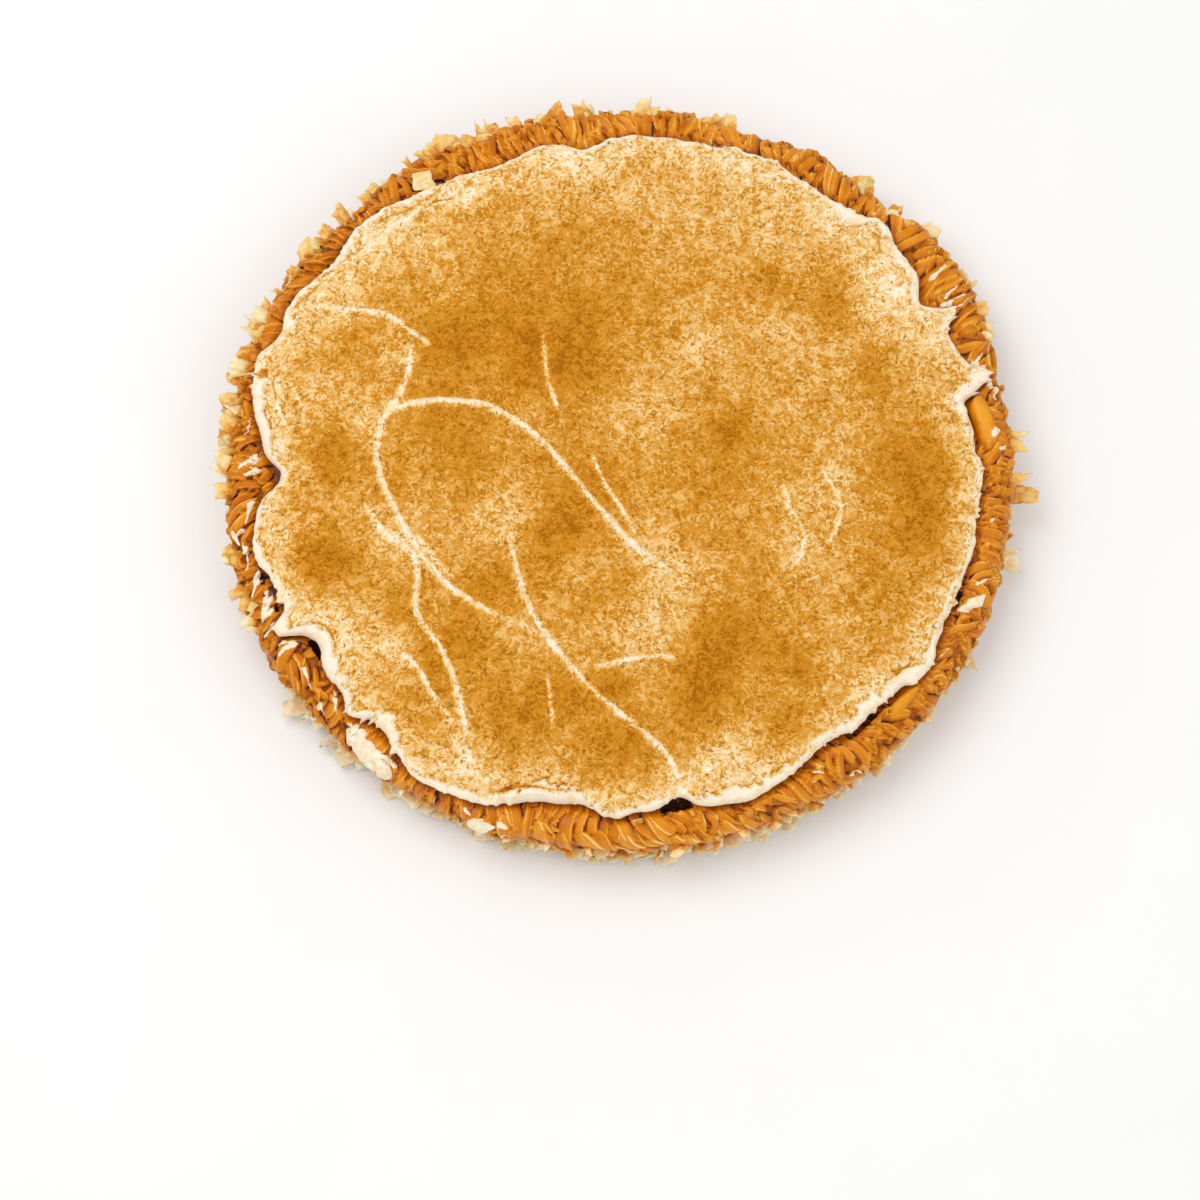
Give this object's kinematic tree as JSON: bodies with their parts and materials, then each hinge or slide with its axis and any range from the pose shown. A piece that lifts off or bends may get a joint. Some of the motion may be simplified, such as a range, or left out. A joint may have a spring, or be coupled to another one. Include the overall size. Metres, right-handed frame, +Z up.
{
  "type": "banoffee pie",
  "caption": "Whole round banoffee pie: flaky pastry base, combed dulce de leche border with pastry flakes on the side, and cinnamon-dusted whipped cream on top.",
  "frame": {"origin": "middle of the pie's flat underside, on the surface it stands on", "axes": "+Z up; seen from above with the picture's top away from the viewer, +X points to the picture's right and +Y to its top"},
  "size_m": [0.2573, 0.246, 0.0323],
  "materials": {
    "pastry": "baked puff pastry, golden, dry and flaky",
    "caramel": "thick dulce de leche, semi-gloss",
    "dusted_cream": "whipped cream under a fine dusting of cinnamon, matte",
    "plain_cream": "whipped cream, soft sheen",
    "pastry_flake": "thin puff pastry leaf, pale gold, slightly translucent"
  },
  "bodies": {
    "root": {"pastry_base": "pastry", "caramel": "caramel", "cream_top": "dusted_cream", "pastry_flake_01": "pastry_flake", "pastry_flake_02": "pastry_flake", "pastry_flake_03": "pastry_flake", "pastry_flake_04": "pastry_flake", "pastry_flake_05": "pastry_flake", "pastry_flake_06": "pastry_flake", "pastry_flake_07": "pastry_flake", "pastry_flake_08": "pastry_flake", "pastry_flake_09": "pastry_flake", "pastry_flake_10": "pastry_flake", "pastry_flake_11": "pastry_flake", "pastry_flake_12": "pastry_flake", "pastry_flake_13": "pastry_flake", "pastry_flake_14": "pastry_flake", "pastry_flake_15": "pastry_flake", "pastry_flake_16": "pastry_flake", "pastry_flake_17": "pastry_flake", "pastry_flake_18": "pastry_flake", "pastry_flake_19": "pastry_flake", "pastry_flake_20": "pastry_flake", "pastry_flake_21": "pastry_flake", "pastry_flake_22": "pastry_flake", "pastry_flake_23": "pastry_flake", "pastry_flake_24": "pastry_flake", "cream_dab_1": "plain_cream", "cream_dab_2": "plain_cream", "cream_dab_3": "plain_cream", "cream_dab_4": "plain_cream"}
  },
  "joints": []
}
